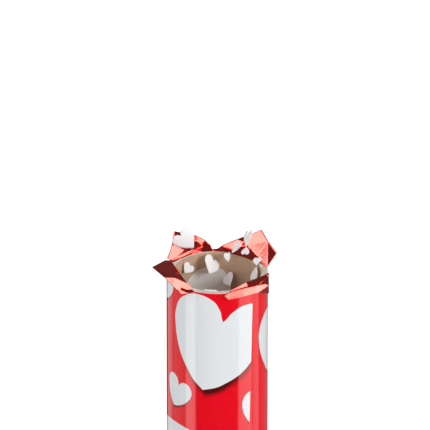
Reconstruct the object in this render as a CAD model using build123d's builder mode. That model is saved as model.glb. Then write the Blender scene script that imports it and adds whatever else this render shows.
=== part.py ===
from build123d import *
import os
from math import asin, atan2, cos, degrees, hypot, radians, sin, sqrt

# Twist-action confetti popper, standing on its foot with its axis on Z, as it is just after firing.
# All lengths are in millimetres and all angles in degrees, counted from +X and anticlockwise seen from above.
# The front of the mouth, where the bare rim shows, faces -Y.

# Cardboard tubes and the printed paper round them
popper_diameter = 50.0
wrap_thickness = 0.3
tube_wall = 2.7
handle_length = 100.0
barrel_length = 177.6
seam_gap = 0.4
wrap_setback = 0.8
glue_gap = 0.05

# Base cap
foot_thickness = 2.0
foot_inset = 0.2
foot_ring_width = 5.0
foot_pad_radius = 10.0
foot_recess_depth = 0.8
foot_chamfer = 0.6
cap_skirt_height = 12.0
cap_skirt_wall = 1.6
cap_rib_count = 6
cap_rib_thickness = 1.4
cap_rib_height = 4.0
cap_boss_radius = 5.0

# Air bottle
packing_wall = 3.0
bottle_wall = 0.9
bottle_corner = 3.0
bottle_dome_rise = 4.5
shoulder_height = 9.0
neck_wall = 2.5
neck_height = 8.0
bead_height = 3.0
bead_reach = 1.5
bead_rounding = 1.0
mouth_depth = 6.0
bung_radius = 2.6
bung_flange_reach = 1.6
bung_flange_height = 1.4
bung_tail_height = 3.0
bung_tip_chamfer = 0.85
packing_height = 16.0
packing_margin = 2.0

# Sleeve that bridges the twist seam
sleeve_wall = 1.5
sleeve_depth = 14.0
sleeve_reach = 12.0
sleeve_clearance = 0.1

# Release valve: collar on the bottle, eared plug, and the spider that turns the plug
running_gap = 0.3
fit_gap = 0.1
lip_thickness = 2.5
lip_slit_count = 4
lip_slit_width = 1.2
lip_slit_turn = 45.0
collar_wall = 2.9
collar_chamfer = 0.5
flange_thickness = 2.5
roof_thickness = 3.0
ear_thickness = 3.0
ear_width = 5.5
ear_tip_gap = 0.8
ear_seat_gap = 0.2
plug_depth = 8.0
plug_clearance = 0.2
plug_travel = 8.0
plug_tip_chamfer = 0.8
seal_height = 3.4
seal_clearance = 0.05
groove_depth = 1.3
stem_share = 1.2
stem_engagement = 6.0
stem_clearance = 0.2
stem_chamfer = 0.6
hub_wall = 3.0
hub_roof = 2.2
spoke_width = 4.0
claw_count = 3
claw_span = 26.0
claw_thickness = 2.4
claw_clearance = 0.8
hook_reach = 2.2
hook_thickness = 2.5
hook_clearance = 1.2
twist_travel = 70.0
stop_gap = 1.5
lug_reach = 2.0

# Wad and the paper sheet rolled inside the barrel
seat_gap = 0.2
wad_thickness = 2.0
wad_clearance = 0.3
wad_chamfer = 0.3
liner_thickness = 0.2
liner_drop = 8.0
liner_edge_angle = 71.0
liner_peak_angle = 98.0
liner_span = 230.0
liner_slope = 54.0
liner_corner_radius = 12.0

# Paper hearts: width, and shares of the width that shape every heart
large_heart = 10.5
medium_heart = 8.5
small_heart = 6.5
heart_lobe_share = 0.29
heart_tip_share = 0.6
paper_thickness = 0.12
paper_gap = 0.08
load_layers = 3
load_ring_count = 5
load_ring_radius = 8.5
load_layer_turn = 36.0

# Torn film over the mouth, and the angles where its petals begin and end
film_thickness = 0.2
fold_inset = 1.0
back_start = 12.0
back_crease = 53.0
back_notch = 94.0
left_start = 155.0
left_end = 243.0
right_start = 284.0
right_end = 358.0

# Radii that follow
outer_radius = popper_diameter / 2
tube_radius = outer_radius - wrap_thickness - glue_gap
bore_radius = outer_radius - wrap_thickness - tube_wall
foot_radius = outer_radius - foot_inset
cap_skirt_radius = bore_radius - glue_gap
sleeve_radius = bore_radius - sleeve_clearance
sleeve_inner_radius = sleeve_radius - sleeve_wall
bottle_radius = bore_radius - packing_wall
claw_outer_radius = sleeve_inner_radius - claw_clearance
claw_inner_radius = claw_outer_radius - claw_thickness
flange_radius = claw_inner_radius - running_gap
hook_radius = flange_radius - hook_reach
collar_radius = hook_radius - hook_clearance
chamber_radius = collar_radius - collar_wall
bead_radius = chamber_radius - fit_gap
neck_radius = bead_radius - bead_reach
neck_bore_radius = neck_radius - neck_wall
plug_radius = neck_bore_radius - plug_clearance
ear_radius = chamber_radius - ear_tip_gap
groove_radius = plug_radius - groove_depth
seal_radius = (neck_bore_radius - seal_clearance - groove_radius - glue_gap) / 2
seal_ring_radius = groove_radius + glue_gap + seal_radius
stem_flats = stem_share * plug_radius
hub_radius = stem_flats / sqrt(3) + hub_wall
liner_radius = bore_radius - fit_gap
liner_inner_radius = liner_radius - liner_thickness
wall_heart_radius = liner_inner_radius - paper_gap
wad_radius = wall_heart_radius - paper_thickness - wad_clearance
fold_radius = outer_radius - fold_inset

# Heights that follow, from the floor up
handle_top = foot_thickness + handle_length
barrel_bottom = handle_top + seam_gap
muzzle_height = barrel_bottom + barrel_length
bottle_bottom = foot_thickness + cap_rib_height
bottle_mouth = handle_top - mouth_depth
bead_bottom = bottle_mouth - bead_height
neck_bottom = bead_bottom - neck_height
shoulder_bottom = neck_bottom - shoulder_height
collar_bottom = bead_bottom - lip_thickness
flange_top = collar_bottom + flange_thickness
plug_bottom = bottle_mouth - plug_depth
ear_bottom = bottle_mouth + ear_seat_gap
ear_top = ear_bottom + ear_thickness
roof_bottom = ear_top + running_gap
collar_top = roof_bottom + roof_thickness
hub_bottom = ear_top + plug_travel + running_gap
stem_top = hub_bottom + stem_engagement
stem_ceiling = stem_top + plug_travel + running_gap
spider_top = stem_ceiling + hub_roof
sleeve_bottom = handle_top - sleeve_depth
sleeve_top = barrel_bottom + sleeve_reach
spider_bottom = sleeve_top + running_gap
hook_top = collar_bottom - running_gap
shelf_bottom = flange_top + running_gap
lower_packing_bottom = foot_thickness + cap_skirt_height + packing_margin
upper_packing_top = shoulder_bottom - packing_margin
wad_bottom = spider_top + seat_gap
wad_top = wad_bottom + wad_thickness
liner_bottom = spider_top + glue_gap
film_bottom = muzzle_height + glue_gap
film_height = film_bottom + film_thickness / 2

# Angles that follow: at rest each claw stands just past the stop lug that ends the firing turn
lug_span = 360 / claw_count - claw_span - twist_travel - 2 * stop_gap
lug_angle = -(claw_span + lug_span) / 2 - stop_gap


def ring(outer, inner):
    """Flat ring about the axis, for tubes and rings of every kind."""
    Circle(outer)
    Circle(inner, mode=Mode.SUBTRACT)


def ring_sector(outer, inner, middle, span):
    """Part of a flat ring about the axis, centred on one angle."""
    with BuildSketch() as sector:
        with BuildLine():
            outside = CenterArc((0, 0), outer, middle - span / 2, span)
            inside = CenterArc((0, 0), inner, middle - span / 2, span)
            Line(outside @ 0, inside @ 0)
            Line(outside @ 1, inside @ 1)
        make_face()
    return sector.sketch_local


def heart(width):
    """Heart with its tip down: straight flanks that run tangent into two round lobes."""
    lobe = heart_lobe_share * width
    lobe_side = width / 2 - lobe
    tip_depth = heart_tip_share * width
    tip_to_lobe = hypot(lobe_side, tip_depth)
    flank_angle = degrees(atan2(tip_depth, lobe_side) - asin(lobe / tip_to_lobe))
    lobe_high = (lobe_side + lobe * cos(radians(45)), lobe * sin(radians(45)))
    with BuildSketch() as outline:
        with BuildLine():
            flank = PolarLine((0, -tip_depth), sqrt(tip_to_lobe**2 - lobe**2), flank_angle)
            ThreePointArc(flank @ 1, lobe_high, (0, sqrt(lobe**2 - lobe_side**2)))
            mirror(about=Plane.YZ)
        make_face()
    return outline.sketch_local


def at_rim(angle, reach=0.0, rise=0.0):
    """Point of the film, by its angle, its reach past the fold circle and its rise above the fold."""
    radius = fold_radius + reach
    return Vector(radius * cos(radians(angle)), radius * sin(radians(angle)), rise)


def turned_plane(spot, normal, turn):
    """Plane that faces along a normal, upright at first and then turned about that normal."""
    level = Vector(0, 0, 1).cross(normal)
    return Plane(origin=spot, x_dir=level.rotate(Axis((0, 0, 0), normal), turn), z_dir=normal)


def facet_normal(first, second, third):
    """Direction in which a three-cornered facet faces, towards the mouth."""
    return (second - first).cross(third - first).normalized()


def folded_sheet(fans, thickness):
    """Solid sheet folded into three-cornered facets, given as fans: a shared corner and the corners round it."""
    facets = [(hub, first, second) for hub, outline in fans for first, second in zip(outline, outline[1:])]
    facing = {}
    for facet in facets:
        for corner in facet:
            facing[corner] = facing.get(corner, Vector()) + facet_normal(*facet)
    upper = {corner: corner + normal.normalized() * (thickness / 2) for corner, normal in facing.items()}
    lower = {corner: corner - normal.normalized() * (thickness / 2) for corner, normal in facing.items()}
    sides = {(facet[i - 1], facet[i]) for facet in facets for i in range(3)}
    triangles = [[upper[corner] for corner in facet] for facet in facets]
    triangles += [[lower[corner] for corner in reversed(facet)] for facet in facets]
    for start, end in sorted(sides, key=lambda side: (*side[0], *side[1])):
        if (end, start) not in sides:
            triangles.append([upper[start], lower[start], lower[end]])
            triangles.append([upper[start], lower[end], upper[end]])
    return Solid(Shell([Face(Wire.make_polygon(corners)) for corners in triangles]))


# Base cap: a moulded plug with a standing ring, a gripping skirt and ribs that carry the bottle
with BuildPart() as base_cap:
    with BuildSketch():
        Circle(foot_radius)
    extrude(amount=foot_thickness)
    with BuildSketch():
        ring(foot_radius - foot_ring_width, foot_pad_radius)
    extrude(amount=foot_recess_depth, mode=Mode.SUBTRACT)
    foot_edge = base_cap.edges().group_by(Axis.Z)[0].sort_by(SortBy.RADIUS)[-1]
    chamfer(foot_edge, foot_chamfer)
    with BuildSketch(Plane.XY.offset(foot_thickness)):
        ring(cap_skirt_radius, cap_skirt_radius - cap_skirt_wall)
    extrude(amount=cap_skirt_height)
    with BuildSketch(Plane.XY.offset(foot_thickness)):
        Circle(cap_boss_radius)
        with PolarLocations(cap_skirt_radius / 2, cap_rib_count):
            Rectangle(cap_skirt_radius - cap_skirt_wall, cap_rib_thickness)
    extrude(amount=cap_rib_height)
base_cap.part.label = "base_cap"

# Handle: the cardboard grip tube and its printed paper, trimmed short of the twist seam
with BuildPart() as handle_tube:
    with BuildSketch(Plane.XY.offset(foot_thickness)):
        ring(tube_radius, bore_radius)
    extrude(amount=handle_length)
handle_tube.part.label = "handle_tube"

with BuildPart() as handle_wrap:
    with BuildSketch(Plane.XY.offset(foot_thickness)):
        ring(outer_radius, outer_radius - wrap_thickness)
    extrude(amount=handle_length - wrap_setback)
handle_wrap.part.label = "handle_wrap"


def bottle_profile(inset, neck):
    """Half section of the bottle, drawn a wall thickness further in for its hollow."""
    floor = bottle_bottom + inset
    side = bottle_radius - inset
    corner = bottle_corner - inset
    dome_top = bottle_bottom + bottle_dome_rise + inset
    with BuildSketch() as section:
        with BuildLine():
            Line((0, bottle_mouth), (0, dome_top))
            TangentArc((0, dome_top), (side - corner, floor), tangent=(1, 0))
            foot = CenterArc((side - corner, floor + corner), corner, -90, 90)
            wall = Line(foot @ 1, (side, shoulder_bottom))
            TangentArc(wall @ 1, (neck, neck_bottom - inset), tangent=(0, 1))
            Polyline((neck, neck_bottom - inset), (neck, bottle_mouth), (0, bottle_mouth))
        make_face()
    return section.sketch_local


# Air bottle: drawn aluminium with a domed base, a round shoulder and a beaded neck
bottle_outside = bottle_profile(0.0, neck_radius)
bottle_inside = bottle_profile(bottle_wall, neck_bore_radius)
with BuildPart() as gas_bottle:
    with BuildSketch(Plane.XZ):
        add(bottle_outside)
    revolve(axis=Axis.Z)
    with BuildSketch(Plane.XY.offset(bead_bottom)):
        Circle(bead_radius)
    extrude(amount=bead_height)
    bead_edges = gas_bottle.edges().filter_by(GeomType.CIRCLE).filter_by(lambda e: e.radius == bead_radius)
    fillet(bead_edges, bead_rounding)
    with BuildSketch(Plane.XZ):
        add(bottle_inside)
    revolve(axis=Axis.Z, mode=Mode.SUBTRACT)
    with BuildSketch(Plane.XY.offset(bottle_bottom)):
        Circle(bung_radius)
    extrude(amount=bottle_dome_rise + 2 * bottle_wall, mode=Mode.SUBTRACT)
gas_bottle.part.label = "gas_bottle"

# Rubber bung in the base, through which the bottle was filled
dome_radius = ((bottle_radius - bottle_corner) ** 2 + bottle_dome_rise**2) / (2 * bottle_dome_rise)
bung_flange_radius = bung_radius + bung_flange_reach
dome_sag = dome_radius - sqrt(dome_radius**2 - bung_flange_radius**2)
bung_seat = bottle_bottom + bottle_dome_rise - dome_sag - glue_gap
with BuildPart() as charge_bung:
    with BuildSketch(Plane.XY.offset(bung_seat - bung_flange_height)):
        Circle(bung_flange_radius)
    extrude(amount=bung_flange_height)
    with BuildSketch(Plane.XY.offset(bung_seat)):
        Circle(bung_radius - glue_gap)
    extrude(amount=bung_tail_height)
    bung_tip = charge_bung.edges().group_by(Axis.Z)[-1]
    chamfer(bung_tip, bung_tip_chamfer)
charge_bung.part.label = "charge_bung"

# Rolled card rings that hold the bottle in the middle of the handle
with BuildPart() as lower_packing_ring:
    with BuildSketch(Plane.XY.offset(lower_packing_bottom)):
        ring(bore_radius - glue_gap, bottle_radius + glue_gap)
    extrude(amount=packing_height)
lower_packing_ring.part.label = "lower_packing_ring"

with BuildPart() as upper_packing_ring:
    with BuildSketch(Plane.XY.offset(upper_packing_top)):
        ring(bore_radius - glue_gap, bottle_radius + glue_gap)
    extrude(amount=-packing_height)
upper_packing_ring.part.label = "upper_packing_ring"

# Card sleeve, glued in the handle, on which the barrel turns
with BuildPart() as joint_sleeve:
    with BuildSketch(Plane.XY.offset(sleeve_bottom)):
        ring(sleeve_radius, sleeve_inner_radius)
    extrude(amount=sleeve_top - sleeve_bottom)
joint_sleeve.part.label = "joint_sleeve"

# Bayonet collar: snaps over the bead, and lets the plug go where its ears meet the two slots
stop_lug = ring_sector(flange_radius + lug_reach, neck_radius, 0, lug_span)
with BuildPart() as bayonet_collar:
    with BuildSketch(Plane.XY.offset(collar_bottom)):
        Circle(collar_radius)
    extrude(amount=collar_top - collar_bottom)
    chamfer(bayonet_collar.edges().group_by(Axis.Z)[-1], collar_chamfer)
    with BuildSketch(Plane.XY.offset(collar_bottom)):
        Circle(flange_radius)
        with PolarLocations(0, claw_count, start_angle=lug_angle):
            add(stop_lug)
    extrude(amount=flange_thickness)
    with BuildSketch(Plane.XY.offset(collar_bottom)):
        Circle(neck_radius + fit_gap)
        with PolarLocations(0, lip_slit_count, start_angle=lip_slit_turn):
            Rectangle(collar_radius, lip_slit_width, align=(Align.MIN, Align.CENTER))
    extrude(amount=lip_thickness, mode=Mode.SUBTRACT)
    with BuildSketch(Plane.XY.offset(bead_bottom - fit_gap)):
        Circle(chamber_radius)
    extrude(amount=roof_bottom - bead_bottom + fit_gap, mode=Mode.SUBTRACT)
    with BuildSketch(Plane.XY.offset(roof_bottom)):
        Circle(plug_radius + running_gap)
        Rectangle(2 * (ear_radius + running_gap), ear_width + 2 * running_gap)
    extrude(amount=roof_thickness, mode=Mode.SUBTRACT)
bayonet_collar.part.label = "bayonet_collar"

# Release plug: grooved body in the bottle neck, two ears under the roof and a six-sided stem in the hub
with BuildPart() as release_plug:
    with BuildSketch(Plane.XY.offset(plug_bottom)):
        Circle(plug_radius)
    extrude(amount=ear_top - plug_bottom)
    chamfer(release_plug.edges().group_by(Axis.Z)[0], plug_tip_chamfer)
    with BuildSketch(Plane.XY.offset(ear_bottom)):
        Circle(ear_radius)
        Rectangle(2 * ear_radius, ear_width, mode=Mode.INTERSECT)
    extrude(amount=ear_thickness)
    with BuildSketch(Plane.XY.offset(ear_top)):
        RegularPolygon(stem_flats / 2, 6, major_radius=False)
    extrude(amount=stem_top - ear_top)
    chamfer(release_plug.edges().group_by(Axis.Z)[-1], stem_chamfer)
    with BuildSketch(Plane.XY.offset(plug_bottom + seal_height - seal_radius - fit_gap)):
        ring(plug_radius, groove_radius)
    extrude(amount=2 * (seal_radius + fit_gap), mode=Mode.SUBTRACT)
release_plug.part.label = "release_plug"

with BuildPart() as plug_o_ring:
    with Locations((0, 0, plug_bottom + seal_height)):
        Torus(seal_ring_radius, seal_radius)
plug_o_ring.part.label = "plug_o_ring"

# Trigger spider: glued in the barrel, it turns the plug, lets the air past and grips the collar's flange
claw_leg = ring_sector(claw_outer_radius, claw_inner_radius, 0, claw_span)
claw_foot = ring_sector(claw_outer_radius, hook_radius, 0, claw_span)
with BuildPart() as trigger_spider:
    with BuildSketch(Plane.XY.offset(spider_bottom)):
        ring(bore_radius - glue_gap, claw_inner_radius)
        with PolarLocations((claw_outer_radius + stem_flats / 2) / 2, claw_count):
            Rectangle(claw_outer_radius - stem_flats / 2, spoke_width)
    extrude(amount=spider_top - spider_bottom)
    with BuildSketch(Plane.XY.offset(hub_bottom)):
        Circle(hub_radius)
    extrude(amount=spider_top - hub_bottom)
    with BuildSketch(Plane.XY.offset(hook_top - hook_thickness)):
        with PolarLocations(0, claw_count):
            add(claw_leg)
    extrude(amount=spider_bottom - hook_top + hook_thickness)
    with BuildSketch(Plane.XY.offset(hook_top - hook_thickness)):
        with PolarLocations(0, claw_count):
            add(claw_foot)
    extrude(amount=hook_thickness)
    with BuildSketch(Plane.XY.offset(shelf_bottom)):
        with PolarLocations(0, claw_count):
            add(claw_foot)
    extrude(amount=hook_thickness)
    with BuildSketch(Plane.XY.offset(hub_bottom)):
        RegularPolygon(stem_flats / 2 + stem_clearance, 6, major_radius=False)
    extrude(amount=stem_ceiling - hub_bottom, mode=Mode.SUBTRACT)
trigger_spider.part.label = "trigger_spider"

# Barrel: the cardboard launch tube and its printed paper
with BuildPart() as barrel_tube:
    with BuildSketch(Plane.XY.offset(barrel_bottom)):
        ring(tube_radius, bore_radius)
    extrude(amount=barrel_length)
barrel_tube.part.label = "barrel_tube"

with BuildPart() as barrel_wrap:
    with BuildSketch(Plane.XY.offset(barrel_bottom + wrap_setback)):
        ring(outer_radius, outer_radius - wrap_thickness)
    extrude(amount=barrel_length - wrap_setback)
barrel_wrap.part.label = "barrel_wrap"

# Paper sheet rolled inside the barrel, cut on the slant, with a rounded upper corner
liner_peak = Vector(liner_radius, 0, 0).rotate(Axis.Z, liner_peak_angle)
liner_peak += Vector(0, 0, muzzle_height - liner_drop)
liner_cut = Plane(
    origin=liner_peak,
    x_dir=Vector(0, 1, 0).rotate(Axis.Z, liner_peak_angle),
    z_dir=Vector(-sin(radians(liner_slope)), 0, cos(radians(liner_slope))).rotate(Axis.Z, liner_peak_angle),
)
liner_corner = Vector(liner_radius * cos(radians(liner_edge_angle)), muzzle_height - liner_drop)
liner_end = ring_sector(liner_radius, liner_inner_radius, liner_edge_angle + liner_span / 2, liner_span)
with BuildPart() as confetti_liner:
    with BuildSketch(Plane.XY.offset(liner_bottom)):
        add(liner_end)
    extrude(amount=muzzle_height - liner_bottom)
    split(bisect_by=liner_cut, keep=Keep.BOTTOM)
    with BuildSketch(Plane.XZ):
        with Locations(liner_corner):
            Rectangle(2 * liner_corner_radius, 2 * liner_corner_radius)
        with Locations(liner_corner - Vector(liner_corner_radius, liner_corner_radius)):
            Circle(liner_corner_radius, mode=Mode.SUBTRACT)
    extrude(amount=-popper_diameter, mode=Mode.SUBTRACT)
confetti_liner.part.label = "confetti_liner"

# Grey-board wad that the air pushes up the barrel, and the hearts that were left lying on it
with BuildPart() as wad_disc:
    with BuildSketch(Plane.XY.offset(wad_bottom)):
        Circle(wad_radius)
    extrude(amount=wad_thickness)
    chamfer(wad_disc.edges(), wad_chamfer)
wad_disc.part.label = "wad_disc"

load_heart = heart(small_heart)
with BuildPart() as confetti_load:
    for layer in range(load_layers):
        layer_height = wad_top + paper_gap + layer * (paper_thickness + paper_gap)
        with BuildSketch(Plane.XY.offset(layer_height)):
            with PolarLocations(load_ring_radius, load_ring_count, start_angle=layer * load_layer_turn):
                add(load_heart)
            with PolarLocations(0, 1, start_angle=layer * load_layer_turn):
                add(load_heart)
        extrude(amount=paper_thickness)
confetti_load.part.label = "confetti_load"

# Hearts that cling to the wall inside the mouth: angle, depth below the rim, turn and width
wall_heart_places = [
    (128.0, 7.0, -28.0, small_heart),
    (98.0, 7.4, -17.0, medium_heart),
    (73.0, 4.4, 0.0, small_heart),
    (74.0, 15.6, 24.0, small_heart),
    (33.0, 8.0, -40.0, small_heart),
]
with BuildPart() as wall_hearts:
    for angle, depth, turn, width in wall_heart_places:
        outward = Vector(1, 0, 0).rotate(Axis.Z, angle)
        spot = outward * (bore_radius - width / 2) + Vector(0, 0, muzzle_height - depth)
        with BuildSketch(turned_plane(spot, outward * -1, turn)):
            add(heart(width))
        extrude(amount=-width)
    with BuildSketch(Plane.XY.offset(muzzle_height - barrel_length)):
        ring(wall_heart_radius, wall_heart_radius - paper_thickness)
    extrude(amount=barrel_length, mode=Mode.INTERSECT)
wall_hearts.part.label = "wall_hearts"

# Torn film: its corners on the fold and on the torn edges
left_root = at_rim(left_end)
left_shoulder = at_rim(174, 3.4, 4.5)
left_tip = at_rim(187, 8.4, 4.5)
left_edge = [at_rim(207, 4.6, 3.2), at_rim(227, 3.0, 0.4)]
corner_root = at_rim(left_start)
back_left_tip = at_rim(138, 4.5, 12.5)
back_left_edge = [at_rim(98.5, 0.8, 2.1), at_rim(103, 0.8, 4.8), at_rim(116, 1.2, 8.8)]
notch_root = at_rim(back_notch)
crease_root = at_rim(back_crease)
back_right_tip = at_rim(42, 5.3, 13.0)
back_right_side = at_rim(32, 5.5, 9.5)
back_right_corner = at_rim(18, 6.9, 5.2)
back_right_step = at_rim(60.5, 3.0, 7.4)
back_right_edge = [back_right_tip, at_rim(51, 3.6, 10.1), back_right_step, at_rim(84, 1.6, 1.8)]
back_root = at_rim(back_start)
right_root = at_rim(right_end)
front_root = at_rim(right_start)
front_edge = [at_rim(279, 2.2, 0.6), at_rim(286, 2.2, 2.3)]
right_brow = at_rim(311, 2.2, 1.7)
right_bend = at_rim(334, 2.2, 0.9)
right_edge = at_rim(354, 2.2, 0.6)
front_hem = at_rim(281, 2.6, -2.2)
middle_hem = at_rim(312, 2.6, -3.2)
right_hem = at_rim(344, 2.6, -8.5)

# Petals: each fan is a row of facets that share one corner
left_petal = [(left_root, [corner_root, left_shoulder, left_tip, *left_edge])]
back_left_petal = [(notch_root, [*back_left_edge, back_left_tip, corner_root])]
back_right_petal = [
    (back_root, [back_right_corner, back_right_side]),
    (crease_root, [back_root, back_right_side, *back_right_edge, notch_root]),
]
front_right_petal = [
    (front_root, [*front_edge, right_brow, right_root]),
    (right_root, [right_brow, right_bend, right_edge]),
    (front_hem, [middle_hem, *reversed(front_edge)]),
    (middle_hem, [right_bend, right_brow, front_edge[-1]]),
    (right_bend, [middle_hem, right_hem, right_edge]),
]
mouth_corners = [back_root, crease_root, notch_root, corner_root, left_root, front_root, right_root]
with BuildPart() as flat_film:
    with BuildSketch(Plane.XY.offset(-film_thickness / 2)):
        Circle(outer_radius)
        with BuildLine():
            Polyline(*[(corner.X, corner.Y) for corner in mouth_corners], close=True)
        make_face(mode=Mode.SUBTRACT)
        with BuildLine():
            bare_arc = CenterArc((0, 0), popper_diameter, left_end, right_start - left_end)
            Polyline(bare_arc @ 0, (0, 0), bare_arc @ 1)
        make_face(mode=Mode.SUBTRACT)
    extrude(amount=film_thickness)
    for petal in (left_petal, back_left_petal, back_right_petal, front_right_petal):
        add(folded_sheet(petal, film_thickness))
with BuildPart() as muzzle_foil:
    with Locations((0, 0, film_height)):
        add(flat_film.part)
muzzle_foil.part.label = "muzzle_foil"

# Hearts that lie across the petals: three corners that set the plane, their shares of the place, turn, width, lift
foil_heart_places = [
    ((corner_root, notch_root, back_left_tip), (0.09, 0.25, 0.66), 40.0, large_heart, 0.85),
    ((back_right_step, notch_root, crease_root), (0.40, 0.35, 0.25), -25.0, small_heart, 0.45),
    ((back_right_tip, back_right_step, crease_root), (0.23, 0.60, 0.17), -15.0, small_heart, 0.55),
]
with BuildPart() as foil_hearts:
    for corners, shares, turn, width, lift in foil_heart_places:
        normal = facet_normal(*corners)
        spot = sum((corner * share for corner, share in zip(corners, shares)), normal * lift)
        with BuildSketch(turned_plane(spot + Vector(0, 0, film_height), normal, turn)):
            add(heart(width))
        extrude(amount=paper_thickness)
foil_hearts.part.label = "foil_hearts"

os.makedirs("parts", exist_ok=True)
pieces = [
    base_cap,
    handle_tube,
    handle_wrap,
    gas_bottle,
    charge_bung,
    lower_packing_ring,
    upper_packing_ring,
    joint_sleeve,
    bayonet_collar,
    release_plug,
    plug_o_ring,
    trigger_spider,
    barrel_tube,
    barrel_wrap,
    confetti_liner,
    wad_disc,
    confetti_load,
    wall_hearts,
    muzzle_foil,
    foil_hearts,
]
for piece in pieces:
    export_step(piece.part, f"parts/{piece.part.label}.step")
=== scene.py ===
"""Looks of a twist-action confetti popper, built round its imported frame.

Laid out as an add-on and run as a script. Lengths in the code are millimetres until a mesh is made,
angles are degrees counted from +X and anticlockwise seen from above, and the front of the mouth faces -Y.
"""

import math

import bmesh
import bpy
import numpy as np
from mathutils import Euler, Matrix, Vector, noise


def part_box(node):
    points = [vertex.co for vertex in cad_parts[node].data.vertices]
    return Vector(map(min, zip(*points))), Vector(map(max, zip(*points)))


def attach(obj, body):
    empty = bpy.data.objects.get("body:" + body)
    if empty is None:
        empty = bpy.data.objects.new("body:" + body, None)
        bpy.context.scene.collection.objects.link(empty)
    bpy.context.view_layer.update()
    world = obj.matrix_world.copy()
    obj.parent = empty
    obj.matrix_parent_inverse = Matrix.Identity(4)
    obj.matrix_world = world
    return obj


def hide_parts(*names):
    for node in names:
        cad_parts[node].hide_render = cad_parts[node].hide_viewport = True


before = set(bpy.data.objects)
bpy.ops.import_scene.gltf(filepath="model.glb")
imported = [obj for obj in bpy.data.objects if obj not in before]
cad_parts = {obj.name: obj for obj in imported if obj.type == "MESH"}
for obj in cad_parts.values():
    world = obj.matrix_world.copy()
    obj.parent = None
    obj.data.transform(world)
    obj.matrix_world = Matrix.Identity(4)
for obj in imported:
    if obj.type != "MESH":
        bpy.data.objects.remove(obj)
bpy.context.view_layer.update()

bl_info = {
    "name": "Confetti popper looks",
    "version": (1, 0, 0),
    "blender": (4, 5, 0),
    "location": "View3D > Sidebar > Popper",
    "description": "Printed papers, torn film, card, confetti and stage of a confetti popper",
    "category": "Object",
}

MM = 0.001


def wall_radius(node, pick):
    """Largest or smallest distance of a node's corners from the popper's axis, in millimetres."""
    return pick(math.hypot(v.co.x, v.co.y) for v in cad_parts[node].data.vertices) / MM


def height_span(node):
    """Lowest and highest level of a node, in millimetres."""
    low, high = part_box(node)
    return low.z / MM, high.z / MM


OUTER_RADIUS = wall_radius("barrel_wrap", max)
BORE_RADIUS = wall_radius("barrel_tube", min)
RIM_HEIGHT = height_span("barrel_tube")[1]
# Angle in degrees from which a fold of paper shows as an edge
SHARP_PAPER = 40.0

# The print's hearts share one outline: two mirrored lobes that cross at the tip and at the cleft.
# Middle of a lobe as shares of the heart's size, and the lobe's reach at degrees from straight down
LOBE_SIDE = 0.24
LOBE_RISE = 0.62
LOBE_REACH = {
    0: 0.431, 15: 0.556, 30: 0.695, 45: 0.748, 90: 0.601, 135: 0.436, 150: 0.474, 165: 0.584, 180: 0.676,
    195: 0.706, 210: 0.668, 240: 0.497, 270: 0.350, 300: 0.305, 330: 0.324, 345: 0.361, 360: 0.431,
}
# Drop shadow of a heart, as shares of its size: how far it is moved, where it ends and how soft it is
SHADOW_DROP = (0.054, -0.125, 0.0)
SHADOW_END = -0.015
SHADOW_SOFTNESS = 0.115

# Sizes of the print's hearts, and how far most of them lean
BIG = 39.0
MIDDLING = 26.3
SMALL = 13.1
LEAN = -15.0


def heart_ring(first, tip_height, size, count):
    """Hearts of one size, evenly spaced round the tube from the first."""
    spacing = math.tau * OUTER_RADIUS / count
    return [(first - step * spacing, tip_height, LEAN, size) for step in range(count)]


# Hearts of the print: way round the tube from PRINT_SEAM, height of the tip, turn, size.
# The photograph shows the first six of the barrel
PRINT_SEAM = 312.0
BARREL_PRINT = [
    (-25.9, 225.6, -15.2, BIG),
    (-44.2, 212.7, -18.6, SMALL),
    (-0.6, 205.6, -18.5, SMALL),
    (-140.1, 226.3, LEAN, MIDDLING),
    (-56.3, 266.4, LEAN, SMALL),
    (-68.7, 198.5, -125.0, BIG),
    (-99.0, 226.0, LEAN, BIG),
    (-112.0, 157.0, LEAN, BIG),
    (-78.0, 208.0, LEAN, SMALL),
    (-146.0, 165.0, LEAN, SMALL),
    (-8.0, 165.0, LEAN, SMALL),
    *heart_ring(-24.0, 113.0, MIDDLING, 3),
    *heart_ring(-47.0, 107.0, SMALL, 3),
]
HANDLE_PRINT = [
    *heart_ring(-42.0, 42.0, BIG, 2),
    *heart_ring(-75.0, 68.0, SMALL, 2),
    *heart_ring(-79.0, 7.0, MIDDLING, 2),
    *heart_ring(-42.0, 13.0, SMALL, 2),
]


def colour_setting(name, description, default):
    """Setting that is a colour."""
    return bpy.props.FloatVectorProperty(
        name=name, description=description, default=default, size=3, subtype="COLOR"
    )


def length_setting(name, description, default):
    """Setting that is a length in metres."""
    return bpy.props.FloatProperty(name=name, description=description, default=default, subtype="DISTANCE")


class PrintSettings(bpy.types.PropertyGroup):
    """Printed paper round the barrel and the handle."""

    red: colour_setting("Red", "Ground of the print", (0.78, 0.0015, 0.012))
    white: colour_setting("White", "Hearts of the print", (0.735, 0.765, 0.785))
    thickness: length_setting("Thickness", "Thickness of the paper", 0.2 * MM)
    lap: length_setting("Lap", "Width of the glued lap at the seam", 5.0 * MM)
    shadow: bpy.props.FloatProperty(
        name="Shadow", description="Depth of the printed drop shadow", default=0.93, subtype="FACTOR"
    )


class FilmSettings(bpy.types.PropertyGroup):
    """Torn metallised film at the mouth."""

    red: colour_setting("Red", "Dyed metal of the film", (0.80, 0.040, 0.027))
    thickness: length_setting("Thickness", "Thickness of the film", 0.08 * MM)
    crumple: length_setting("Crumple", "Height of the crumples", 0.012 * MM)


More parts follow.
